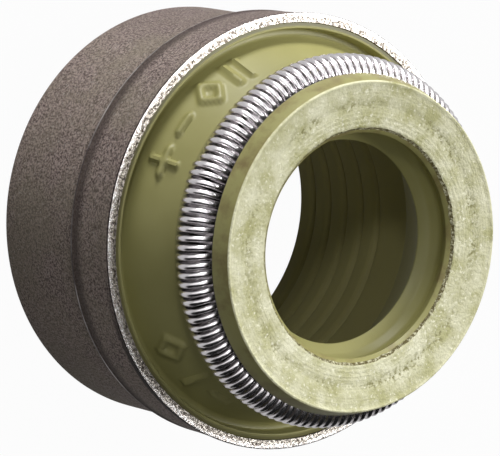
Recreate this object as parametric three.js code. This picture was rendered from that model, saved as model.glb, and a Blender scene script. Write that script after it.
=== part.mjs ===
// Valve stem seal: a drawn steel case, an elastomer body moulded into it and a garter spring.
// Millimetres, +Z up. The seal stands on the rear end of its case and its axis is Z.
import * as THREE from 'three';
import { ParametricGeometry } from 'three/addons/geometries/ParametricGeometry.js';

// What the seal is made to fit
const stemDiameter = 7.0;
const guideDiameter = 10.4;

// Grip of the moulded body on the stem and on the guide
const stemSqueeze = 0.64;
const guideSqueeze = 0.44;

// Steel case: a rear skirt, a wider front band and an edge turned in at the rear
const sheetThickness = 0.3;
const caseLength = 6.6;
const bandLength = 2.2;
const bandStep = 0.24;
const bandFlare = 0.02;
const skirtFlare = 0.14;
const cornerRadius = 0.3;
const turnedEdgeWidth = 0.5;
const shoulderRun = 0.1;
const shearRollover = 0.05;

// Guide sleeve of the body
const sleeveWall = 1.46;
const rearRecess = 0.06;
const entryChamfer = 0.15;
const firstGrooveHeight = 0.91;
const groovePitch = 0.9;
const groovedLength = 4.1;
const grooveDepth = 0.2;
const grooveWidth = 0.22;
const landRounding = 0.05;
const landShoulder = 0.12;
const plainBoreTop = 0.5;

// Recess between the case's front edge and the neck
const rimSink = 0.05;
const rimBandWidth = 0.2;
const recessWallRun = 0.04;
const recessDepth = 0.5;
const recessFloorWidth = 0.22;

// Garter spring
const wireDiameter = 0.2;
const coilDiameter = 1.36;
const turnSpacing = 1.13;
const springRise = 2.25;

// Head and sealing lip
const lipWall = 1.32;
const springClearance = 0.02;
const lipLead = 0.05;
const lipLand = 0.06;
const lipBackRun = 0.12;
const collarThickness = 0.17;
const headOverhang = 0.13;
const bevelHeight = 0.61;
const bevelWidth = 0.23;
const dishDepth = 0.2;
const faceBoreOffset = 0.56;
const trimEdgeOffset = 0.32;
const trimEdgeDepth = 0.22;
const bowlOffset = 0.54;
const bowlDepth = 0.52;
// Where the bowl's curve bends, as shares of its width and depth
const bowlBendAcross = 0.6;
const bowlBendUp = 0.4;

// Fineness of the faceted solids
const roundSegments = 48;
const grooveArcSteps = 8;
const wireSides = 4;
const stepsPerTurn = 8;

// Radii and heights that follow from the sizes above
const lipRadius = (stemDiameter - stemSqueeze) / 2;
const landRadius = (guideDiameter - guideSqueeze) / 2;
const skirtInside = landRadius + sleeveWall;
const skirtOutside = skirtInside + sheetThickness;
const shoulderHeight = caseLength - bandLength;
const coilRadius = coilDiameter / 2;
const seatRadius = coilRadius + springClearance;
const springRadius = lipRadius + lipWall + seatRadius;
const springHeight = caseLength + springRise;
const lipHeight = springHeight + lipLead;
const headRadius = springRadius + headOverhang;
const headEdgeHeight = springHeight + seatRadius + collarThickness;
const faceHeight = headEdgeHeight + bevelHeight;

const point = (radius, height) => new THREE.Vector2(radius, height);

// The case's inner wall, from the front edge down to the turned edge: the body is bonded to it
function bondedWall() {
  return [
    point(skirtInside + bandStep + bandFlare, caseLength - rimSink),
    point(skirtInside + bandStep, shoulderHeight + sheetThickness),
    point(skirtInside, shoulderHeight - shoulderRun + sheetThickness),
    point(skirtInside + skirtFlare, cornerRadius + sheetThickness),
    point(skirtInside + skirtFlare - cornerRadius, sheetThickness),
    point(skirtInside + skirtFlare - turnedEdgeWidth, sheetThickness),
    point(skirtInside + skirtFlare - turnedEdgeWidth, rearRecess),
  ];
}

// An arc in the section's plane, angles in degrees from the radial direction
function arc(radius, height, size, from, to, steps) {
  const points = [];
  for (let i = 0; i <= steps; i++) {
    const angle = THREE.MathUtils.degToRad(from + (to - from) * i / steps);
    points.push(point(radius + size * Math.cos(angle), height + size * Math.sin(angle)));
  }
  return points;
}

// A closed section turned about Z; its points run anticlockwise with the radius to the right
function turned(section) {
  const geometry = new THREE.LatheGeometry([...section, section[0]], roundSegments);
  geometry.rotateX(Math.PI / 2);
  return geometry;
}

function caseSection() {
  const outside = skirtOutside + skirtFlare;
  const front = skirtOutside + bandStep + bandFlare;
  return [
    point(skirtInside + skirtFlare - turnedEdgeWidth, 0),
    ...arc(outside - cornerRadius, cornerRadius, cornerRadius, -90, 0, 3),
    point(skirtOutside, shoulderHeight - shoulderRun),
    point(skirtOutside + bandStep, shoulderHeight),
    point(front, caseLength - shearRollover),
    point(front - shearRollover, caseLength),
    point(front - sheetThickness, caseLength),
    ...bondedWall(),
  ];
}

// The sleeve's bore from the rear: an entry chamfer, V grooves between lands with eased edges, a plain stretch
function sleeveBore() {
  const points = [
    point(landRadius + entryChamfer, rearRecess),
    point(landRadius, rearRecess + entryChamfer),
  ];
  const grooves = Math.floor(groovedLength / groovePitch) + 1;
  for (let i = 0; i < grooves; i++) {
    const height = firstGrooveHeight + i * groovePitch;
    points.push(point(landRadius, height - grooveWidth / 2 - landShoulder));
    points.push(point(landRadius + landRounding, height - grooveWidth / 2));
    points.push(point(landRadius + grooveDepth, height));
    points.push(point(landRadius + landRounding, height + grooveWidth / 2));
    points.push(point(landRadius, height + grooveWidth / 2 + landShoulder));
  }
  points.push(point(landRadius, caseLength - plainBoreTop));
  return points;
}

function bodySection() {
  const rimRadius = skirtInside + bandStep + bandFlare;
  const recessEdge = rimRadius - rimBandWidth;
  const recessFloor = caseLength - recessDepth;
  const faceBore = lipRadius + faceBoreOffset;
  const faceBoreHeight = faceHeight - dishDepth;
  const trimHeight = faceBoreHeight - trimEdgeDepth;
  const inside = [
    ...sleeveBore(),
    point(lipRadius + lipBackRun, lipHeight - lipBackRun),
    point(lipRadius, lipHeight - lipLand / 2),
    point(lipRadius, lipHeight + lipLand / 2),
    point(lipRadius + bowlOffset * bowlBendAcross, lipHeight + bowlDepth * bowlBendUp),
    point(lipRadius + bowlOffset, lipHeight + bowlDepth),
    point(lipRadius + trimEdgeOffset, trimHeight),
    point(faceBore, faceBoreHeight),
  ];
  const outside = [
    ...bondedWall().reverse(),
    point(recessEdge, caseLength - rimSink),
    point(recessEdge - recessWallRun, recessFloor),
    point(recessEdge - recessWallRun - recessFloorWidth, recessFloor),
    ...arc(springRadius, springHeight, seatRadius, -100, -270, grooveArcSteps),
    point(headRadius, headEdgeHeight),
    point(headRadius - bevelWidth, faceHeight),
  ];
  return [...outside, ...inside.reverse()];
}

// A close-wound wire coil bent into a ring; u runs along the wire and v around it
function springGeometry() {
  const wireRadius = wireDiameter / 2;
  const pathRadius = coilRadius - wireRadius;
  const insideLength = 2 * Math.PI * (springRadius - pathRadius);
  const turns = Math.floor(insideLength / (wireDiameter * turnSpacing));
  const surface = (u, v, target) => {
    const around = 2 * Math.PI * u;
    const turn = -turns * around;
    const side = 2 * Math.PI * v;
    const reach = pathRadius + wireRadius * Math.cos(side);
    const radius = springRadius + reach * Math.cos(turn);
    const height = springHeight + reach * Math.sin(turn);
    const along = wireRadius * Math.sin(side);
    target.set(
      radius * Math.cos(around) - along * Math.sin(around),
      radius * Math.sin(around) + along * Math.cos(around),
      height,
    );
  };
  return new ParametricGeometry(surface, turns * stepsPerTurn, wireSides);
}

function piece(name, geometry, colour, roughness, metalness) {
  const material = new THREE.MeshStandardMaterial({ color: colour, roughness, metalness });
  const mesh = new THREE.Mesh(geometry, material);
  mesh.name = name;
  return mesh;
}

const group = new THREE.Group();
group.add(piece('steel_case', turned(caseSection()), 0x766b68, 0.5, 0.3));
group.add(piece('rubber_body', turned(bodySection()), 0x97935f, 0.5, 0));
group.add(piece('garter_spring', springGeometry(), 0xb4b1b3, 0.25, 1));

export default group;
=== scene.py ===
import math
import bpy
from mathutils import Matrix, Vector, noise


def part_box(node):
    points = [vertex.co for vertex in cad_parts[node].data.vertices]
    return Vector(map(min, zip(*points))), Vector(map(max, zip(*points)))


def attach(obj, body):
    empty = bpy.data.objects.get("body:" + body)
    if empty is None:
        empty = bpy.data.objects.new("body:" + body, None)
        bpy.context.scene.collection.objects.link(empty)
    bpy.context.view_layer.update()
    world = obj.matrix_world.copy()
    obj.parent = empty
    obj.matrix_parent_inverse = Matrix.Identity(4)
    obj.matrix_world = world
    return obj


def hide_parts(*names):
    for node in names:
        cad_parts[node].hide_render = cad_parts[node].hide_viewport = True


# Valve stem seal: drawn steel case, moulded fluoro-rubber body and garter spring.
# The seal stands on the rear end of its case. Sizes are in millimetres until a mesh is made.
MM = 0.001

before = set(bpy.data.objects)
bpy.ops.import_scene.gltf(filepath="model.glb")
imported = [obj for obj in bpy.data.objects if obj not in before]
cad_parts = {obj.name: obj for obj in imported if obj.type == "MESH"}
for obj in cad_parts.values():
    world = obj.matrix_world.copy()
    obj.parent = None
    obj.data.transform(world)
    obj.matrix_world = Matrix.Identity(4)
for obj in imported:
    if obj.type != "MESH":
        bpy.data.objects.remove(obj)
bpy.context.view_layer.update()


def extent(name):
    """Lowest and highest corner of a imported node, in millimetres."""
    low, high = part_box(name)
    return low / MM, high / MM


case_high = extent("steel_case")[1]
body_high = extent("rubber_body")[1]
spring_low, spring_high = extent("garter_spring")

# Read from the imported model
RIM_RADIUS = case_high.x
CASE_LENGTH = case_high.z
FACE_HEIGHT = body_high.z
SPRING_HEIGHT = (spring_low.z + spring_high.z) / 2
COIL_RADIUS = (spring_high.z - spring_low.z) / 2
SPRING_REACH = spring_high.x

# Steel case
SHEET = 0.3
BAND_LENGTH = 2.2
BAND_STEP = 0.24
BAND_FLARE = 0.02
SKIRT_FLARE = 0.14
CORNER = 0.3
TURNED_EDGE = 0.5
SHOULDER_RUN = 0.1
ROLLOVER = 0.05
CREASE = 0.05
BEAD = 0.08
BAND_DIP = 0.03
RIM_ROUGHNESS = 0.014
CASE_SEGMENTS = 640

# Moulded body
LIP_RADIUS = 3.18
LAND_RADIUS = 4.98
REAR_RECESS = 0.06
ENTRY_CHAMFER = 0.15
GROOVE_FIRST = 0.91
GROOVE_PITCH = 0.9
GROOVE_COUNT = 5
GROOVE_DEPTH = 0.2
GROOVE_WIDTH = 0.22
LAND_ROUNDING = 0.05
LAND_SHOULDER = 0.12
BORE_TOP_DROP = 0.5
RIM_SINK = 0.05
RIM_BAND = 0.2
RIDGE_WIDTH = 0.06
RIDGE_HEIGHT = 0.03
RECESS_RUN = 0.04
RECESS_DEPTH = 0.5
RECESS_FLOOR = 0.22
SEAT_CLEARANCE = 0.02
COLLAR_OVERHANG = 0.13
COLLAR_THICKNESS = 0.17
BEVEL_WIDTH = 0.23
DISH_DEPTH = 0.2
FACE_BORE_OFFSET = 0.56
TRIM_OFFSET = 0.32
TRIM_DEPTH = 0.22
BOWL_OFFSET = 0.54
BOWL_DEPTH = 0.52
BOWL_BEND_ACROSS = 0.6
BOWL_BEND_UP = 0.4
LIP_LEAD = 0.05
TROUGH_RADIUS = 4.36
TROUGH_WIDTH = 0.17
TROUGH_DEPTH = 0.03
TRIM_RAGGED = 0.035
TRIM_WIDTH = 0.05
TRIM_DROP = 0.02
TORN_WIDTH = 0.12
TORN_DROP = 0.1
EDGE_OUT = 0.045
EDGE_IN = 0.09
EDGE_DROP = 0.05
FACE_ROUGHNESS = 0.006
BODY_SEGMENTS = 400

# Garter spring
WIRE = 0.2
TURNS = 128
JOIN_ANGLE = 254
JOIN_STEP = 0.15
JOIN_FADE = 7
STEPS_PER_TURN = 24
WIRE_SIDES = 10

# Raised marks of the mould
MARK_HALF_WIDTH = 0.14
MARK_EDGE = 0.08
MARK_HEIGHT = 0.13
MARK_UP_CONE = 0.92
MARK_REACH = 0.8

# Outer edge of the front face
FACE_EDGE = SPRING_REACH - COIL_RADIUS + COLLAR_OVERHANG - BEVEL_WIDTH

# Longest step round a fillet in millimetres, and the angle in degrees above which an edge stays sharp
FILLET_STEP = 0.035
SHARP_ANGLE = 50

# Room light, the share of the glowing floor that reflections show, and the floor in millimetres
ROOM_LIGHT = 0.1
FLOOR_IN_MIRRORS = 0.4
FLOOR_HALF = 400
FLOOR_DROP = 0.01

# Share of the floor that glows white to the eye; the rest is paper that takes its shadow
FLOOR_GLOW = 0.97

# Camera: the photograph is 500 by 456 pixels and was taken 36 degrees off the seal's axis
FRAME_WIDTH = 500
FOCAL_PIXELS = 2500
SENSOR = 36.0
AXIS_TILT = math.radians(36.15)
AXIS_DROOP = math.radians(11.88)
RIM_IN_VIEW = (1.410, 0.154, 79.60)


def linear(hex_value):
    """A hex sRGB colour as the linear colour that a shader socket takes."""
    channels = [((hex_value >> shift) & 255) / 255 for shift in (16, 8, 0)]
    return (*[c / 12.92 if c <= 0.04045 else ((c + 0.055) / 1.055) ** 2.4 for c in channels], 1.0)


def add(tree, kind, inputs=None, **settings):
    """A new node with its settings; an input is a value or the socket that is linked to it."""
    made = tree.nodes.new(kind)
    for name, value in settings.items():
        setattr(made, name, value)
    for key, value in (inputs or {}).items():
        if isinstance(value, bpy.types.NodeSocket):
            tree.links.new(value, made.inputs[key])
        else:
            made.inputs[key].default_value = value
    return made


def per_mm(size):
    """The scale of a noise whose features are about this many millimetres wide."""
    return 1 / (size * MM)


def new_material(name):
    material = bpy.data.materials.new(name)
    material.use_nodes = True
    material.node_tree.nodes.clear()
    return material, material.node_tree


def phosphated_steel():
    """Deep-drawn mild steel with a zinc phosphate coat: dull purplish brown, crystal speckle, cloudy."""
    material, tree = new_material("phosphated_steel")
    place = add(tree, "ShaderNodeTexCoord").outputs["Object"]
    grain = add(tree, "ShaderNodeTexNoise", {"Vector": place, "Scale": per_mm(0.07), "Detail": 4.0,
                                             "Roughness": 0.8})
    cloud = add(tree, "ShaderNodeTexNoise", {"Vector": place, "Scale": per_mm(2.4), "Detail": 5.0,
                                             "Roughness": 0.6})
    sparkle = add(tree, "ShaderNodeTexNoise", {"Vector": place, "Scale": per_mm(0.085), "Detail": 1.0})
    pit = add(tree, "ShaderNodeTexNoise", {"Vector": place, "Scale": per_mm(0.09), "Detail": 2.0})
    coat = add(tree, "ShaderNodeMapRange", {"Value": grain.outputs["Fac"], "From Min": 0.44,
                                            "From Max": 0.56})
    base = add(tree, "ShaderNodeMix", {"Factor": coat.outputs["Result"], 6: linear(0x4c3f3d),
                                       7: linear(0xb0a098)},
               data_type="RGBA")
    dull = add(tree, "ShaderNodeMapRange", {"Value": cloud.outputs["Fac"], "From Min": 0.4,
                                            "From Max": 0.62,
                                            "To Max": 0.5})
    tinted = add(tree, "ShaderNodeMix", {"Factor": dull.outputs["Result"], 6: base.outputs[2],
                                         7: linear(0x8a8270)},
                 data_type="RGBA")
    bright = add(tree, "ShaderNodeMapRange", {"Value": sparkle.outputs["Fac"], "From Min": 0.64,
                                              "From Max": 0.74,
                                              "To Max": 0.8})
    flecked = add(tree, "ShaderNodeMix", {"Factor": bright.outputs["Result"], 6: tinted.outputs[2],
                                          7: linear(0xb4aca4)}, data_type="RGBA")
    hollow = add(tree, "ShaderNodeMapRange", {"Value": pit.outputs["Fac"], "From Min": 0.64,
                                              "From Max": 0.72,
                                              "To Max": 0.6})
    pitted = add(tree, "ShaderNodeMix", {"Factor": hollow.outputs["Result"], 6: flecked.outputs[2],
                                         7: linear(0x3a302f)}, data_type="RGBA")
    height = add(tree, "ShaderNodeSeparateXYZ", {0: place})
    # Painted shade: the coat darkens within about half a millimetre of the bead at the band's rear end,
    # standing in for the shade beside the step.
    middle = CASE_LENGTH - BAND_LENGTH + BEAD
    off_band = add(tree, "ShaderNodeMath", {0: height.outputs["Z"], 1: middle * MM}, operation="SUBTRACT")
    from_band = add(tree, "ShaderNodeMath", {0: off_band.outputs[0]}, operation="ABSOLUTE")
    drawn = add(tree, "ShaderNodeMapRange", {"Value": from_band.outputs[0], "From Min": 0.6 * MM,
                                             "From Max": 0.25 * MM, "To Max": 0.75})
    step_shaded = add(tree, "ShaderNodeMix", {"Factor": drawn.outputs["Result"], 6: pitted.outputs[2],
                                         7: linear(0x3c3230)}, data_type="RGBA")
    # Painted shade: within about 0.3 mm of the rim and on the +X side, the coat turns nearly black.
    rim_shade_mask = add(tree, "ShaderNodeMapRange", {"Value": height.outputs["Z"],
                                              "From Min": (CASE_LENGTH - 0.4) * MM,
                                              "From Max": (CASE_LENGTH - 0.28) * MM})
    low_side = add(tree, "ShaderNodeMapRange", {"Value": height.outputs["X"], "From Min": 2 * MM,
                                                "From Max": 5 * MM,
                                                "To Max": 0.9})
    shade_amount = add(tree, "ShaderNodeMath", {0: rim_shade_mask.outputs["Result"], 1: low_side.outputs["Result"]},
              operation="MULTIPLY")
    # The coat is darker towards the -X side of the case.
    minus_x_tone_mask = add(tree, "ShaderNodeMapRange", {"Value": height.outputs["X"], "From Min": -4.6 * MM,
                                             "From Max": -6.4 * MM,
                                             "To Max": 0.4})
    minus_x_toned = add(tree, "ShaderNodeMix", {"Factor": minus_x_tone_mask.outputs["Result"], 6: step_shaded.outputs[2],
                                         7: linear(0x584b4b)}, data_type="RGBA")
    rim_shaded = add(tree, "ShaderNodeMix", {"Factor": shade_amount.outputs[0], 6: minus_x_toned.outputs[2],
                                        7: linear(0x120d0c)},
                data_type="RGBA")
    gloss = add(tree, "ShaderNodeMapRange", {"Value": grain.outputs["Fac"], "To Min": 0.5, "To Max": 0.75})
    relief = add(tree, "ShaderNodeBump", {"Height": grain.outputs["Fac"], "Strength": 0.5,
                                          "Distance": 0.03 * MM})
    shader = add(tree, "ShaderNodeBsdfPrincipled", {"Base Color": rim_shaded.outputs[2], "Metallic": 0.0,
                                                    "Roughness": gloss.outputs["Result"], "IOR": 1.22,
                                                    "Normal": relief.outputs["Normal"]})
    add(tree, "ShaderNodeOutputMaterial", {"Surface": shader.outputs["BSDF"]})
    return material


def rubbed_steel():
    """The band's corner, where handling has rubbed the phosphate off: a bright broken line of bare steel."""
    material, tree = new_material("rubbed_steel")
    place = add(tree, "ShaderNodeTexCoord").outputs["Object"]
    wear = add(tree, "ShaderNodeTexNoise", {"Vector": place, "Scale": per_mm(1.6), "Detail": 5.0,
                                            "Roughness": 0.6})
    bare = add(tree, "ShaderNodeMapRange", {"Value": wear.outputs["Fac"], "From Min": 0.42,
                                            "From Max": 0.62})
    base = add(tree, "ShaderNodeMix", {"Factor": bare.outputs["Result"], 6: linear(0x463d3b),
                                       7: linear(0xb8b2b0)},
               data_type="RGBA")
    shine = add(tree, "ShaderNodeMath", {0: bare.outputs["Result"], 1: 0.6}, operation="MULTIPLY")
    shader = add(tree, "ShaderNodeBsdfPrincipled", {"Base Color": base.outputs[2],
                                                    "Metallic": shine.outputs[0],
                                                    "Roughness": 0.4, "IOR": 1.25})
    add(tree, "ShaderNodeOutputMaterial", {"Surface": shader.outputs["BSDF"]})
    return material


def crease_shade_steel():
    """The creases beside the band, painted nearly black as shade."""
    material, tree = new_material("crease_shade_steel")
    place = add(tree, "ShaderNodeTexCoord").outputs["Object"]
    shade_amount = add(tree, "ShaderNodeTexNoise", {"Vector": place, "Scale": per_mm(0.5), "Detail": 3.0})
    shade_depth = add(tree, "ShaderNodeMapRange", {"Value": shade_amount.outputs["Fac"], "From Min": 0.35,
                                             "From Max": 0.65})
    base = add(tree, "ShaderNodeMix", {"Factor": shade_depth.outputs["Result"], 6: linear(0x332a28),
                                       7: linear(0x120d0c)},
               data_type="RGBA")
    shader = add(tree, "ShaderNodeBsdfPrincipled", {"Base Color": base.outputs[2], "Roughness": 0.8,
                                                    "IOR": 1.15})
    add(tree, "ShaderNodeOutputMaterial", {"Surface": shader.outputs["BSDF"]})
    return material


def sheared_steel():
    """Bare steel on the sheared front edge: a bright burnished outer half, a torn grey inner half."""
    material, tree = new_material("sheared_steel")
    place = add(tree, "ShaderNodeTexCoord").outputs["Object"]
    flat = add(tree, "ShaderNodeVectorMath", {0: place, 1: (1, 1, 0)}, operation="MULTIPLY")
    radius = add(tree, "ShaderNodeVectorMath", {0: flat.outputs["Vector"]}, operation="LENGTH")
    tear = add(tree, "ShaderNodeTexNoise", {"Vector": place, "Scale": per_mm(0.1), "Detail": 4.0,
                                            "Roughness": 0.75})
    wander = add(tree, "ShaderNodeTexNoise", {"Vector": place, "Scale": per_mm(0.9), "Detail": 3.0})
    middle = (RIM_RADIUS - SHEET * 0.45) * MM
    edge = add(tree, "ShaderNodeMath", {0: wander.outputs["Fac"], 1: 0.4 * MM, 2: radius.outputs["Value"]},
               operation="MULTIPLY_ADD")
    outer = add(tree, "ShaderNodeMapRange", {"Value": edge.outputs[0], "From Min": middle + 0.19 * MM,
                                             "From Max": middle + 0.26 * MM})
    speck = add(tree, "ShaderNodeMapRange", {"Value": tear.outputs["Fac"], "From Min": 0.42,
                                             "From Max": 0.56})
    torn = add(tree, "ShaderNodeMix", {"Factor": speck.outputs["Result"], 6: linear(0x554c43),
                                       7: linear(0xdbd4ca)},
               data_type="RGBA")
    bright = add(tree, "ShaderNodeMix", {"Factor": speck.outputs["Result"], 6: linear(0xc8beb6),
                                         7: linear(0xfcfaf8)},
                 data_type="RGBA")
    base = add(tree, "ShaderNodeMix", {"Factor": outer.outputs["Result"], 6: torn.outputs[2],
                                       7: bright.outputs[2]},
               data_type="RGBA")
    relief = add(tree, "ShaderNodeBump", {"Height": tear.outputs["Fac"], "Strength": 0.6,
                                          "Distance": 0.04 * MM})
    shader = add(tree, "ShaderNodeBsdfPrincipled", {"Base Color": base.outputs[2], "Metallic": 0.9,
                                                    "Roughness": 0.26,
                                                    "Normal": relief.outputs["Normal"]})
    add(tree, "ShaderNodeOutputMaterial", {"Surface": shader.outputs["BSDF"]})
    return material


def moulded_rubber():
    """Olive-green rubber as moulded: satin skin, brown patches on the head that are partly staining and
    partly painted shade, painted shade on the flat band by the rim and on the cone under the spring.
    """
    material, tree = new_material("moulded_fluoro_rubber")
    place = add(tree, "ShaderNodeTexCoord").outputs["Object"]
    bloom = add(tree, "ShaderNodeTexNoise", {"Vector": place, "Scale": per_mm(1.1), "Detail": 4.0})
    skin = add(tree, "ShaderNodeTexNoise", {"Vector": place, "Scale": per_mm(0.05), "Detail": 2.0})
    base = add(tree, "ShaderNodeMix", {"Factor": bloom.outputs["Fac"], 6: linear(0x928e58),
                                       7: linear(0xa09c68)},
               data_type="RGBA")
    height = add(tree, "ShaderNodeSeparateXYZ", {0: place})
    # Brown patches over the head: partly staining, partly painted shade.
    on_head = add(tree, "ShaderNodeMapRange", {"Value": height.outputs["Z"],
                                               "From Min": (FACE_HEIGHT - 0.85) * MM,
                                               "From Max": (FACE_HEIGHT - 0.6) * MM, "To Max": 0.75})
    head_patch_noise = add(tree, "ShaderNodeTexNoise", {"Vector": place, "Scale": per_mm(0.9), "Detail": 5.0,
                                             "Roughness": 0.65})
    head_patches = add(tree, "ShaderNodeMapRange", {"Value": head_patch_noise.outputs["Fac"], "From Min": 0.46,
                                             "From Max": 0.7})
    head_stain_and_shade_mask = add(tree, "ShaderNodeMath", {0: on_head.outputs["Result"], 1: head_patches.outputs["Result"]},
                  operation="MULTIPLY")
    head_stain_and_shade = add(tree, "ShaderNodeMix", {"Factor": head_stain_and_shade_mask.outputs[0], 6: base.outputs[2],
                                        7: linear(0x715f3e)},
                data_type="RGBA")
    flat = add(tree, "ShaderNodeVectorMath", {0: place, 1: (1, 1, 0)}, operation="MULTIPLY")
    radius = add(tree, "ShaderNodeVectorMath", {0: flat.outputs["Vector"]}, operation="LENGTH")
    # Painted shade: rubber outside the ridge, on the flat band up to the case rim, is darkened all round.
    strip = RIM_RADIUS - SHEET - RIM_BAND + RIDGE_WIDTH
    rim_shade_mask = add(tree, "ShaderNodeMapRange", {"Value": radius.outputs["Value"], "From Min": strip * MM,
                                              "From Max": (strip + 0.05) * MM, "To Max": 0.7})
    rim_flat_shaded = add(tree, "ShaderNodeMix", {"Factor": rim_shade_mask.outputs["Result"], 6: head_stain_and_shade.outputs[2],
                                         7: linear(0x4f4b2a)}, data_type="RGBA")
    # Painted shade: the cone just under the spring, where the coil's shadow falls, is nearly black.
    outside = add(tree, "ShaderNodeMath", {0: radius.outputs["Value"], 1: LAND_RADIUS * 0.92 * MM},
                  operation="GREATER_THAN")
    below_coil = add(tree, "ShaderNodeMapRange", {"Value": height.outputs["Z"],
                                                  "From Min": (SPRING_HEIGHT - 1.14) * MM,
                                                  "From Max": (SPRING_HEIGHT - 0.98) * MM})
    below_head = add(tree, "ShaderNodeMath", {0: height.outputs["Z"], 1: SPRING_HEIGHT * MM},
                     operation="LESS_THAN")
    beside_coil = add(tree, "ShaderNodeMath", {0: outside.outputs[0], 1: below_head.outputs[0]},
                      operation="MULTIPLY")
    coil_shade_mask = add(tree, "ShaderNodeMath", {0: beside_coil.outputs[0], 1: below_coil.outputs["Result"]},
              operation="MULTIPLY")
    coil_shaded = add(tree, "ShaderNodeMix", {"Factor": coil_shade_mask.outputs[0], 6: rim_flat_shaded.outputs[2], 7: linear(0x1d1b12)},
               data_type="RGBA")
    relief = add(tree, "ShaderNodeBump", {"Height": skin.outputs["Fac"], "Strength": 0.12,
                                          "Distance": 0.01 * MM})
    shader = add(tree, "ShaderNodeBsdfPrincipled", {"Base Color": coil_shaded.outputs[2], "Roughness": 0.42,
                                                    "IOR": 1.4,
                                                    "Normal": relief.outputs["Normal"]})
    add(tree, "ShaderNodeOutputMaterial", {"Surface": shader.outputs["BSDF"]})
    return material


def trimmed_rubber():
    """The same rubber on the head's front face: pale and matt, ring scratches, crumbs in a trough, a painted
    highlight round the outer edge.
    """
    material, tree = new_material("trimmed_fluoro_rubber")
    place = add(tree, "ShaderNodeTexCoord").outputs["Object"]
    flat = add(tree, "ShaderNodeVectorMath", {0: place, 1: (1, 1, 0)}, operation="MULTIPLY")
    radius = add(tree, "ShaderNodeVectorMath", {0: flat.outputs["Vector"]}, operation="LENGTH")
    scuff = add(tree, "ShaderNodeTexNoise", {"Vector": place, "Scale": per_mm(0.8), "Detail": 5.0,
                                             "Roughness": 0.6})
    pore = add(tree, "ShaderNodeTexNoise", {"Vector": place, "Scale": per_mm(0.13), "Detail": 3.0,
                                            "Roughness": 0.65})
    crumb = add(tree, "ShaderNodeTexNoise", {"Vector": place, "Scale": per_mm(0.1), "Detail": 2.0})
    patch = add(tree, "ShaderNodeTexNoise", {"Vector": place, "Scale": per_mm(1.7), "Detail": 2.0})
    scratch_place = add(tree, "ShaderNodeCombineXYZ", {"X": radius.outputs["Value"]})
    scratch = add(tree, "ShaderNodeTexNoise", {"Vector": scratch_place.outputs[0], "Scale": per_mm(0.07),
                                               "Detail": 3.0})
    worn = add(tree, "ShaderNodeMapRange", {"Value": scuff.outputs["Fac"], "From Min": 0.35,
                                            "From Max": 0.65})
    base = add(tree, "ShaderNodeMix", {"Factor": worn.outputs["Result"], 6: linear(0xacaa7a),
                                       7: linear(0xd6d4b6)},
               data_type="RGBA")
    off_trough = add(tree, "ShaderNodeMath", {0: radius.outputs["Value"], 1: TROUGH_RADIUS * MM},
                     operation="SUBTRACT")
    distance = add(tree, "ShaderNodeMath", {0: off_trough.outputs[0]}, operation="ABSOLUTE")
    trough = add(tree, "ShaderNodeMapRange", {"Value": distance.outputs[0], "From Min": 0.3 * MM,
                                              "From Max": 0.05 * MM})
    patched = add(tree, "ShaderNodeMapRange", {"Value": patch.outputs["Fac"], "From Min": 0.4,
                                               "From Max": 0.6})
    rough_here = add(tree, "ShaderNodeMath", {0: trough.outputs["Result"], 1: patched.outputs["Result"]},
                     operation="MULTIPLY")
    pores = add(tree, "ShaderNodeMapRange", {"Value": pore.outputs["Fac"], "From Min": 0.5,
                                             "From Max": 0.4})
    pitted = add(tree, "ShaderNodeMath", {0: rough_here.outputs[0], 1: pores.outputs["Result"]},
                 operation="MULTIPLY")
    darker = add(tree, "ShaderNodeMix", {"Factor": pitted.outputs[0], 6: base.outputs[2],
                                         7: linear(0x7f7c4c)},
                 data_type="RGBA")
    spot = add(tree, "ShaderNodeMapRange", {"Value": crumb.outputs["Fac"], "From Min": 0.62,
                                            "From Max": 0.72,
                                            "To Max": 0.9})
    flecked = add(tree, "ShaderNodeMix", {"Factor": spot.outputs["Result"], 6: darker.outputs[2],
                                          7: linear(0xe6e4cc)}, data_type="RGBA")
    # Painted highlight: a pale line round the face's outer edge, broken up by the scuff pattern.
    on_ridge = add(tree, "ShaderNodeMapRange", {"Value": radius.outputs["Value"],
                                                "From Min": (FACE_EDGE - 0.07) * MM,
                                                "From Max": (FACE_EDGE - 0.03) * MM})
    ridge = add(tree, "ShaderNodeMath", {0: on_ridge.outputs["Result"], 1: worn.outputs["Result"]},
                operation="MULTIPLY")
    rubbed = add(tree, "ShaderNodeMix", {"Factor": ridge.outputs[0], 6: flecked.outputs[2],
                                         7: linear(0xe0deba)}, data_type="RGBA")
    rings = add(tree, "ShaderNodeMath", {0: scratch.outputs["Fac"], 1: 0.5, 2: pore.outputs["Fac"]},
                operation="MULTIPLY_ADD")
    relief = add(tree, "ShaderNodeBump", {"Height": rings.outputs[0], "Strength": 0.8,
                                          "Distance": 0.05 * MM})
    gloss = add(tree, "ShaderNodeMapRange", {"Value": radius.outputs["Value"], "From Min": 4.0 * MM,
                                             "From Max": 4.25 * MM, "To Min": 0.36, "To Max": 0.55})
    shader = add(tree, "ShaderNodeBsdfPrincipled", {"Base Color": rubbed.outputs[2], "IOR": 1.4,
                                                    "Roughness": gloss.outputs["Result"],
                                                    "Normal": relief.outputs["Normal"]})
    add(tree, "ShaderNodeOutputMaterial", {"Surface": shader.outputs["BSDF"]})
    return material


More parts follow.
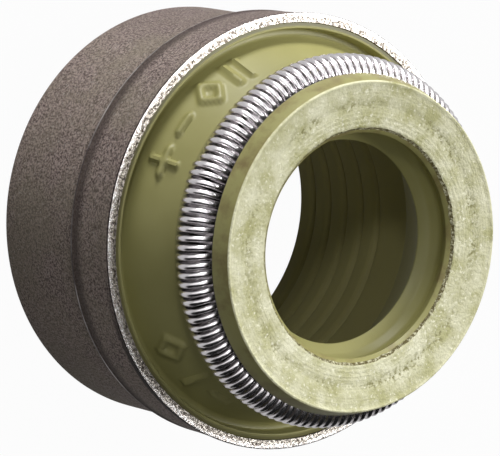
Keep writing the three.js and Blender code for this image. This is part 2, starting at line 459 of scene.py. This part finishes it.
def torn_rubber():
    """The torn inner edge where the mould's waste was cut off: pale crumbs, with painted shade in the
    hollows between them.
    """
    material, tree = new_material("torn_fluoro_rubber")
    place = add(tree, "ShaderNodeTexCoord").outputs["Object"]
    crumb = add(tree, "ShaderNodeTexNoise", {"Vector": place, "Scale": per_mm(0.09), "Detail": 4.0,
                                             "Roughness": 0.7})
    stand = add(tree, "ShaderNodeMapRange", {"Value": crumb.outputs["Fac"], "From Min": 0.47,
                                             "From Max": 0.62})
    # Painted shade: the colour darkens where the crumb relief is low.
    base = add(tree, "ShaderNodeMix", {"Factor": stand.outputs["Result"], 6: linear(0x6a6138),
                                       7: linear(0xe2dfbc)},
               data_type="RGBA")
    relief = add(tree, "ShaderNodeBump", {"Height": crumb.outputs["Fac"], "Strength": 1.0,
                                          "Distance": 0.1 * MM})
    shader = add(tree, "ShaderNodeBsdfPrincipled", {"Base Color": base.outputs[2], "Roughness": 0.45,
                                                    "IOR": 1.4,
                                                    "Normal": relief.outputs["Normal"]})
    add(tree, "ShaderNodeOutputMaterial", {"Surface": shader.outputs["BSDF"]})
    return material


def bore_rubber():
    """The guide sleeve's bore: the same olive rubber with a matt skin."""
    material, tree = new_material("bore_fluoro_rubber")
    shader = add(tree, "ShaderNodeBsdfPrincipled", {"Base Color": linear(0xa29c6a), "Roughness": 0.7,
                                                    "IOR": 1.4})
    add(tree, "ShaderNodeOutputMaterial", {"Surface": shader.outputs["BSDF"]})
    return material


def seat_shade_rubber():
    """The rubber in the spring's seat, painted dark as shade."""
    material, tree = new_material("seat_shade_fluoro_rubber")
    shader = add(tree, "ShaderNodeBsdfPrincipled", {"Base Color": linear(0x1d1b12), "Roughness": 0.5,
                                                    "IOR": 1.4})
    add(tree, "ShaderNodeOutputMaterial", {"Surface": shader.outputs["BSDF"]})
    return material


def spring_wire():
    """Bright drawn spring steel: a smooth mirror along each turn, faint drawing lines."""
    material, tree = new_material("drawn_spring_wire")
    place = add(tree, "ShaderNodeTexCoord").outputs["Object"]
    line = add(tree, "ShaderNodeTexNoise", {"Vector": place, "Scale": per_mm(0.2), "Detail": 3.0})
    gloss = add(tree, "ShaderNodeMapRange", {"Value": line.outputs["Fac"], "To Min": 0.2, "To Max": 0.3})
    shader = add(tree, "ShaderNodeBsdfPrincipled", {"Base Color": linear(0xf0ecee), "Metallic": 1.0,
                                                    "Roughness": gloss.outputs["Result"]})
    add(tree, "ShaderNodeOutputMaterial", {"Surface": shader.outputs["BSDF"]})
    return material


def rounded(corners, spacing):
    """A closed section from corners (radius, height, fillet, surface), filleted and divided.

    Each point of the result is (radius, height, surface), where surface names what lies from
    that corner to the next one, and spacing gives the longest step on each surface.
    """
    points = []
    count = len(corners)
    ends = []
    for i, (r, z, fillet, surface) in enumerate(corners):
        here = Vector((r, z))
        before = Vector(corners[i - 1][:2]) - here
        after = Vector(corners[(i + 1) % count][:2]) - here
        if fillet == 0:
            ends.append([(here, corners[i - 1][3])])
            continue
        half = before.angle(after) / 2
        reach = min(fillet / math.tan(half), before.length * 0.48, after.length * 0.48)
        radius = reach * math.tan(half)
        centre = here + (before.normalized() + after.normalized()).normalized() * (radius / math.sin(half))
        start = here + before.normalized() * reach - centre
        finish = here + after.normalized() * reach - centre
        turn = math.pi - 2 * half
        side = 1 if start.x * finish.y - start.y * finish.x > 0 else -1
        steps = max(2, min(7, math.ceil(turn * radius / FILLET_STEP)))
        bend = []
        for k in range(steps + 1):
            angle = side * turn * k / steps
            spot = Vector((start.x * math.cos(angle) - start.y * math.sin(angle),
                           start.x * math.sin(angle) + start.y * math.cos(angle)))
            bend.append((centre + spot, corners[i - 1][3] if k < steps / 2 else surface))
        ends.append(bend)
    for i, bend in enumerate(ends):
        surface = corners[i][3]
        for spot, tag in bend[:-1]:
            points.append((spot.x, spot.y, tag))
        start, finish = bend[-1][0], ends[(i + 1) % count][0][0]
        pieces = max(1, math.ceil((finish - start).length / spacing[surface]))
        for k in range(pieces):
            spot = start.lerp(finish, k / pieces)
            points.append((spot.x, spot.y, surface))
    return points


def new_object(name, verts, faces, materials, finishes):
    mesh = bpy.data.meshes.new(name)
    mesh.from_pydata(verts, [], faces)
    for material in materials:
        mesh.materials.append(material)
    if finishes:
        mesh.polygons.foreach_set("material_index", finishes)
    mesh.shade_smooth()
    mesh.set_sharp_from_angle(angle=math.radians(SHARP_ANGLE))
    made = bpy.data.objects.new(name, mesh)
    bpy.context.scene.collection.objects.link(made)
    return made


def turned(name, section, segments, materials, surfaces, shift=None):
    """The section turned about Z. surfaces says which material each named surface takes."""
    verts = []
    for i, (r, z, surface) in enumerate(section):
        for j in range(segments):
            angle = 2 * math.pi * j / segments
            radius, height = shift(r, z, surface, angle) if shift else (r, z)
            verts.append((radius * math.cos(angle) * MM, radius * math.sin(angle) * MM, height * MM))
    faces = []
    finishes = []
    for i in range(len(section)):
        after = (i + 1) % len(section)
        for j in range(segments):
            beside = (j + 1) % segments
            faces.append((i * segments + j, i * segments + beside, after * segments + beside,
                          after * segments + j))
            finishes.append(surfaces.get(section[i][2], 0))
    return new_object(name, verts, faces, materials, finishes)


def ripple(angle, radius, height, size, seed):
    """Smooth noise from -1 to 1 at a place on the seal, its features about size millimetres wide."""
    spot = Vector((radius * math.cos(angle), radius * math.sin(angle), height)) / size
    return noise.noise(spot + Vector((seed, 0, 0)))


skirt_inside = RIM_RADIUS - SHEET - BAND_STEP - BAND_FLARE
shoulder = CASE_LENGTH - BAND_LENGTH


def make_case():
    outside = skirt_inside + SHEET + SKIRT_FLARE
    corners = [
        (skirt_inside + SKIRT_FLARE - TURNED_EDGE, 0, 0.04, "coat"),
        (outside, 0, CORNER, "coat"),
        (skirt_inside + SHEET, shoulder - SHOULDER_RUN - CREASE, 0.02, "crease"),
        (skirt_inside + SHEET, shoulder - SHOULDER_RUN, 0.03, "crease"),
        (skirt_inside + SHEET + BAND_STEP, shoulder, 0.04, "bead"),
        (skirt_inside + SHEET + BAND_STEP, shoulder + BEAD, 0.04, "coat"),
        (skirt_inside + SHEET + BAND_STEP - BAND_DIP, shoulder + BEAD * 2, 0.06, "coat"),
        (skirt_inside + SHEET + BAND_STEP - BAND_DIP * 0.4, shoulder + BEAD * 5, 0.3, "coat"),
        (RIM_RADIUS - BAND_DIP, CASE_LENGTH - ROLLOVER - CREASE * 1.4, 0.03, "crease"),
        (RIM_RADIUS, CASE_LENGTH - ROLLOVER, 0.03, "crease"),
        (RIM_RADIUS, CASE_LENGTH, ROLLOVER * 0.9, "edge"),
        (RIM_RADIUS - SHEET, CASE_LENGTH, 0.02, "coat"),
        (RIM_RADIUS - SHEET, CASE_LENGTH - RIM_SINK * 2, 0, "coat"),
        (skirt_inside + BAND_STEP, shoulder + SHEET, 0.05, "coat"),
        (skirt_inside, shoulder - SHOULDER_RUN + SHEET, 0.1, "coat"),
        (skirt_inside + SKIRT_FLARE, CORNER + SHEET, 0.1, "coat"),
        (skirt_inside + SKIRT_FLARE - CORNER, SHEET, 0.05, "coat"),
        (skirt_inside + SKIRT_FLARE - TURNED_EDGE, SHEET, 0.04, "coat"),
    ]

    def shift(r, z, surface, angle):
        if surface != "edge" or z < CASE_LENGTH - 0.03:
            return r, z
        return r, z - RIM_ROUGHNESS * (1 + ripple(angle, r, z, 0.12, 3)) * 0.5

    section = rounded(corners, {"coat": 0.5, "edge": 0.04, "bead": 0.1, "crease": 0.1})
    materials = [phosphated_steel(), sheared_steel(), rubbed_steel(), crease_shade_steel()]
    piece = turned("seal_case", section, CASE_SEGMENTS, materials, {"edge": 1, "bead": 2, "crease": 3},
                   shift)
    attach(piece, "root")
    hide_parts("steel_case")


# Raised marks of the mould, plain strokes only: the mark's angle in degrees and its strokes as
# (along, up, along, up) in millimetres from the mark's middle
MARKS = [
    (257, [(-0.42, 0, 0.42, 0), (0, -0.42, 0, 0.42)]),
    (244, [(-0.3, 0, 0.3, 0)]),
    (231, [(-0.38, 0, 0, 0.45), (0, 0.45, 0.38, 0), (0.38, 0, 0, -0.45), (0, -0.45, -0.38, 0)]),
    (219, [(-0.24, -0.42, -0.24, 0.42), (0.24, -0.42, 0.24, 0.42)]),
    (317, [(-0.38, 0, 0, 0.45), (0, 0.45, 0.38, 0), (0.38, 0, 0, -0.45), (0, -0.45, -0.38, 0)]),
    (331, [(0, -0.42, 0, 0.42)]),
    (342, [(-0.3, 0, 0.3, 0)]),
]


def body_corners():
    rim = skirt_inside + BAND_STEP + BAND_FLARE
    recess_edge = rim - RIM_BAND
    recess_floor = CASE_LENGTH - RECESS_DEPTH
    seat = COIL_RADIUS + SEAT_CLEARANCE
    ring = SPRING_REACH - COIL_RADIUS
    collar = ring + COLLAR_OVERHANG
    collar_height = SPRING_HEIGHT + seat + COLLAR_THICKNESS
    face_bore = LIP_RADIUS + FACE_BORE_OFFSET
    face_bore_height = FACE_HEIGHT - DISH_DEPTH
    trim_height = face_bore_height - TRIM_DEPTH
    lip_height = SPRING_HEIGHT + LIP_LEAD
    turned_in = skirt_inside + SKIRT_FLARE - TURNED_EDGE
    seat_arc = []
    for degrees in range(-100, -271, -10):
        angle = math.radians(degrees)
        seat_arc.append((ring + seat * math.cos(angle), SPRING_HEIGHT + seat * math.sin(angle), 0, "seat"))
    grooves = []
    half = GROOVE_WIDTH / 2
    for i in reversed(range(GROOVE_COUNT)):
        height = GROOVE_FIRST + i * GROOVE_PITCH
        grooves.append((LAND_RADIUS, height + half + LAND_SHOULDER, 0.12, "bore"))
        grooves.append((LAND_RADIUS + LAND_ROUNDING, height + half, 0.06, "bore"))
        grooves.append((LAND_RADIUS + GROOVE_DEPTH, height, 0.04, "bore"))
        grooves.append((LAND_RADIUS + LAND_ROUNDING, height - half, 0.06, "bore"))
        grooves.append((LAND_RADIUS, height - half - LAND_SHOULDER, 0.12, "bore"))
    return [
        (turned_in, REAR_RECESS, 0.02, "bond"),
        (turned_in, SHEET, 0, "bond"),
        (skirt_inside + SKIRT_FLARE - CORNER, SHEET, 0, "bond"),
        (skirt_inside + SKIRT_FLARE, CORNER + SHEET, 0, "bond"),
        (skirt_inside, shoulder - SHOULDER_RUN + SHEET, 0, "bond"),
        (skirt_inside + BAND_STEP, shoulder + SHEET, 0, "bond"),
        (rim, CASE_LENGTH - RIM_SINK, 0.02, "skin"),
        (recess_edge + RIDGE_WIDTH * 1.3, CASE_LENGTH - RIM_SINK, 0.03, "ridge"),
        (recess_edge + RIDGE_WIDTH * 0.5, CASE_LENGTH - RIM_SINK + RIDGE_HEIGHT, 0.03, "ridge"),
        (recess_edge, CASE_LENGTH - RIM_SINK, 0.03, "skin"),
        (recess_edge - RECESS_RUN, recess_floor, 0.05, "skin"),
        (recess_edge - RECESS_RUN - RECESS_FLOOR, recess_floor, 0.3, "cone"),
        *seat_arc,
        (collar, collar_height, 0.08, "skin"),
        (FACE_EDGE + EDGE_OUT, FACE_HEIGHT - EDGE_DROP, 0.06, "face"),
        (FACE_EDGE, FACE_HEIGHT, 0.04, "face"),
        (FACE_EDGE - EDGE_IN, FACE_HEIGHT - EDGE_DROP, 0.08, "face"),
        (face_bore, face_bore_height, 0.03, "face"),
        (face_bore - TRIM_WIDTH, face_bore_height - TRIM_DROP, 0.02, "trim"),
        (face_bore - TORN_WIDTH, face_bore_height - TORN_DROP, 0.02, "skin"),
        (LIP_RADIUS + TRIM_OFFSET, trim_height, 0.03, "skin"),
        (LIP_RADIUS + BOWL_OFFSET, lip_height + BOWL_DEPTH, 0.25, "skin"),
        (LIP_RADIUS + BOWL_OFFSET * BOWL_BEND_ACROSS, lip_height + BOWL_DEPTH * BOWL_BEND_UP, 0.3, "skin"),
        (LIP_RADIUS, lip_height, 0.04, "skin"),
        (LAND_RADIUS, CASE_LENGTH - BORE_TOP_DROP, 0.15, "bore"),
        *grooves,
        (LAND_RADIUS, REAR_RECESS + ENTRY_CHAMFER, 0.06, "bore"),
        (LAND_RADIUS + ENTRY_CHAMFER, REAR_RECESS, 0.04, "skin"),
    ]


def stroke_distance(along, up, stroke):
    start, finish = Vector(stroke[:2]), Vector(stroke[2:])
    run = finish - start
    spot = Vector((along, up)) - start
    share = max(0, min(1, spot.dot(run) / run.length_squared))
    return (spot - run * share).length


def mark_relief(angle, radius, up):
    """How far the raised marks stand out of the cone at a place, in millimetres."""
    nearest = MARK_HALF_WIDTH
    for degrees, strokes in MARKS:
        turn = (angle - math.radians(degrees) + math.pi) % (2 * math.pi) - math.pi
        along = turn * radius
        if abs(along) < MARK_REACH:
            nearest = min([nearest, *[stroke_distance(along, up - MARK_UP_CONE, s) for s in strokes]])
    share = max(0, min(1, (MARK_HALF_WIDTH - nearest) / MARK_EDGE))
    return MARK_HEIGHT * share * share * (3 - 2 * share)


def make_body():
    corners = body_corners()
    foot_corner = next(i for i, corner in enumerate(corners) if corner[3] == "cone")
    foot, top = Vector(corners[foot_corner][:2]), Vector(corners[foot_corner + 1][:2])
    up_cone = (top - foot).normalized()
    out_of_cone = Vector((up_cone.y, -up_cone.x))

    def shift(r, z, surface, angle):
        if surface == "cone":
            up = (Vector((r, z)) - foot).dot(up_cone)
            spot = Vector((r, z)) + out_of_cone * mark_relief(angle, r, up)
            return spot.x, spot.y
        if surface == "face":
            trough = math.exp(-((r - TROUGH_RADIUS) / TROUGH_WIDTH) ** 2)
            rough = ripple(angle, r, z, 0.25, 11) * FACE_ROUGHNESS
            return r, z - trough * TROUGH_DEPTH - abs(rough)
        if surface == "trim":
            torn = ripple(angle, r, z, 0.16, 5) + ripple(angle, r, z, 0.5, 7)
            return r + torn * TRIM_RAGGED, z + torn * TRIM_RAGGED * 0.5
        return r, z

    spacing = {"bond": 2, "ridge": 0.05, "seat": 0.5, "skin": 0.3, "cone": 0.065, "face": 0.08,
               "trim": 0.06, "bore": 1}
    section = rounded(corners, spacing)
    materials = [moulded_rubber(), trimmed_rubber(), torn_rubber(), seat_shade_rubber(), bore_rubber()]
    surfaces = {"face": 1, "trim": 2, "seat": 3, "bore": 4}
    piece = turned("seal_body", section, BODY_SEGMENTS, materials, surfaces, shift)
    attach(piece, "root")
    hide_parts("rubber_body")


def make_spring():
    """The wire's own path: a coil of TURNS turns bent into a ring, with a round section."""
    wire_radius = WIRE / 2
    path_radius = COIL_RADIUS - wire_radius
    ring = SPRING_REACH - COIL_RADIUS
    sides = WIRE_SIDES
    total = TURNS * STEPS_PER_TURN
    verts = []
    for i in range(total):
        around = 2 * math.pi * i / total
        turn = -TURNS * around
        past_join = (around - math.radians(JOIN_ANGLE)) % (2 * math.pi) * TURNS / (2 * math.pi)
        step = JOIN_STEP * math.exp(-past_join / JOIN_FADE) * min(1, past_join)
        for k in range(sides):
            side = 2 * math.pi * k / sides
            reach = path_radius + wire_radius * math.cos(side)
            radius = ring + step + reach * math.cos(turn)
            along = wire_radius * math.sin(side)
            verts.append(((radius * math.cos(around) - along * math.sin(around)) * MM,
                          (radius * math.sin(around) + along * math.cos(around)) * MM,
                          (SPRING_HEIGHT + reach * math.sin(turn)) * MM))
    faces = []
    for i in range(total):
        after = (i + 1) % total
        for k in range(sides):
            beside = (k + 1) % sides
            faces.append((i * sides + k, after * sides + k, after * sides + beside, i * sides + beside))
    piece = new_object("seal_spring", verts, faces, [spring_wire()], [])
    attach(piece, "root")
    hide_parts("garter_spring")


def make_camera():
    elevation = math.pi / 2 - AXIS_TILT
    roll = math.pi / 2 + AXIS_DROOP
    ahead = Vector((0, math.cos(elevation), -math.sin(elevation)))
    level = Vector((1, 0, 0))
    upright = Vector((0, math.sin(elevation), math.cos(elevation)))
    right = level * math.cos(roll) + upright * math.sin(roll)
    up = upright * math.cos(roll) - level * math.sin(roll)
    across, down, away = RIM_IN_VIEW
    place = Vector((0, 0, CASE_LENGTH)) - right * across + up * down - ahead * away
    data = bpy.data.cameras.new("camera")
    data.sensor_width = SENSOR
    data.lens = FOCAL_PIXELS / FRAME_WIDTH * SENSOR
    data.clip_start = MM
    data.clip_end = 10
    camera = bpy.data.objects.new("camera", data)
    camera.location = place * MM
    camera.rotation_mode = "QUATERNION"
    camera.rotation_quaternion = Matrix((right, up, -ahead)).transposed().to_quaternion()
    bpy.context.scene.collection.objects.link(camera)
    bpy.context.scene.camera = camera


def make_lamp(name, place, size, watts):
    """An area lamp at place, in millimetres, aimed at the middle of the seal."""
    data = bpy.data.lights.new(name, "AREA")
    data.shape = "DISK"
    data.size = size * MM
    data.energy = watts
    lamp = bpy.data.objects.new(name, data)
    aim = Vector((0, 0, CASE_LENGTH)) - Vector(place)
    lamp.location = Vector(place) * MM
    lamp.rotation_mode = "QUATERNION"
    lamp.rotation_quaternion = aim.to_track_quat("-Z", "Y")
    bpy.context.scene.collection.objects.link(lamp)


def make_card(name, place, half_x, half_y, turn):
    """A black card near the seal that shows only in reflections; places are in millimetres."""
    corners = [(-half_x, -half_y, 0), (half_x, -half_y, 0), (half_x, half_y, 0), (-half_x, half_y, 0)]
    card = new_object(name, [Vector(c) * MM for c in corners], [(0, 1, 2, 3)], [], [])
    card.location = Vector(place) * MM
    card.rotation_euler = [math.radians(degrees) for degrees in turn]
    material, tree = new_material(name)
    cloth = add(tree, "ShaderNodeBsdfDiffuse", {"Color": linear(0x101010)})
    add(tree, "ShaderNodeOutputMaterial", {"Surface": cloth.outputs[0]})
    card.data.materials.append(material)
    card.visible_camera = False
    card.visible_shadow = False
    card.visible_diffuse = False
    card.visible_transmission = False


def seen_directly(tree, in_mirrors):
    """1 where the eye sees the background straight, in_mirrors where a reflection shows it, 0 elsewhere."""
    path = add(tree, "ShaderNodeLightPath")
    mirror = add(tree, "ShaderNodeMath", {0: path.outputs["Is Glossy Ray"], 1: in_mirrors},
                 operation="MULTIPLY")
    return add(tree, "ShaderNodeMath", {0: mirror.outputs[0], 1: path.outputs["Is Camera Ray"]},
               operation="MAXIMUM").outputs[0]


def make_surroundings():
    """White paper under the seal and a white room round it."""
    world = bpy.data.worlds.new("studio")
    world.use_nodes = True
    tree = world.node_tree
    tree.nodes.clear()
    room = add(tree, "ShaderNodeBackground", {"Color": (1, 1, 1, 1), "Strength": ROOM_LIGHT})
    white = add(tree, "ShaderNodeBackground", {"Color": (1, 1, 1, 1), "Strength": 1.0})
    seen = add(tree, "ShaderNodeMixShader", {0: seen_directly(tree, 1.0), 1: room.outputs[0],
                                             2: white.outputs[0]})
    add(tree, "ShaderNodeOutputWorld", {"Surface": seen.outputs[0]})
    bpy.context.scene.world = world

    half = FLOOR_HALF * MM
    corners = [(-half, -half, 0), (half, -half, 0), (half, half, 0), (-half, half, 0)]
    floor = new_object("floor", corners, [(0, 1, 2, 3)], [], [])
    floor.location.z = -FLOOR_DROP * MM
    material, tree = new_material("white_paper")
    paper = add(tree, "ShaderNodeBsdfDiffuse", {"Color": linear(0x868686)})
    glow = add(tree, "ShaderNodeEmission", {"Color": (1, 1, 1, 1), "Strength": 1.0})
    share = add(tree, "ShaderNodeMath", {0: seen_directly(tree, FLOOR_IN_MIRRORS), 1: FLOOR_GLOW},
                operation="MULTIPLY")
    both = add(tree, "ShaderNodeMixShader", {0: share.outputs[0], 1: paper.outputs[0], 2: glow.outputs[0]})
    add(tree, "ShaderNodeOutputMaterial", {"Surface": both.outputs[0]})
    floor.data.materials.append(material)


make_camera()
make_case()
make_body()
make_spring()
make_surroundings()
make_lamp("side", (-231, -59, 36), 110, 0.62)
make_lamp("front", (-71, -122, 148), 30, 0.05)
make_lamp("back", (-76, 121, 200), 140, 0.5)
make_lamp("fill", (60, -60, 230), 120, 0.05)
make_card("dark_card_above", (0, 6, 100), 300, 14, (0, 0, 0))
make_card("dark_card_right", (20, 0, 42), 44, 80, (0, 90, 0))
make_card("dark_card_behind", (0, 60, 25), 60, 26, (90, 0, 0))

bpy.context.scene.view_settings.view_transform = "Standard"
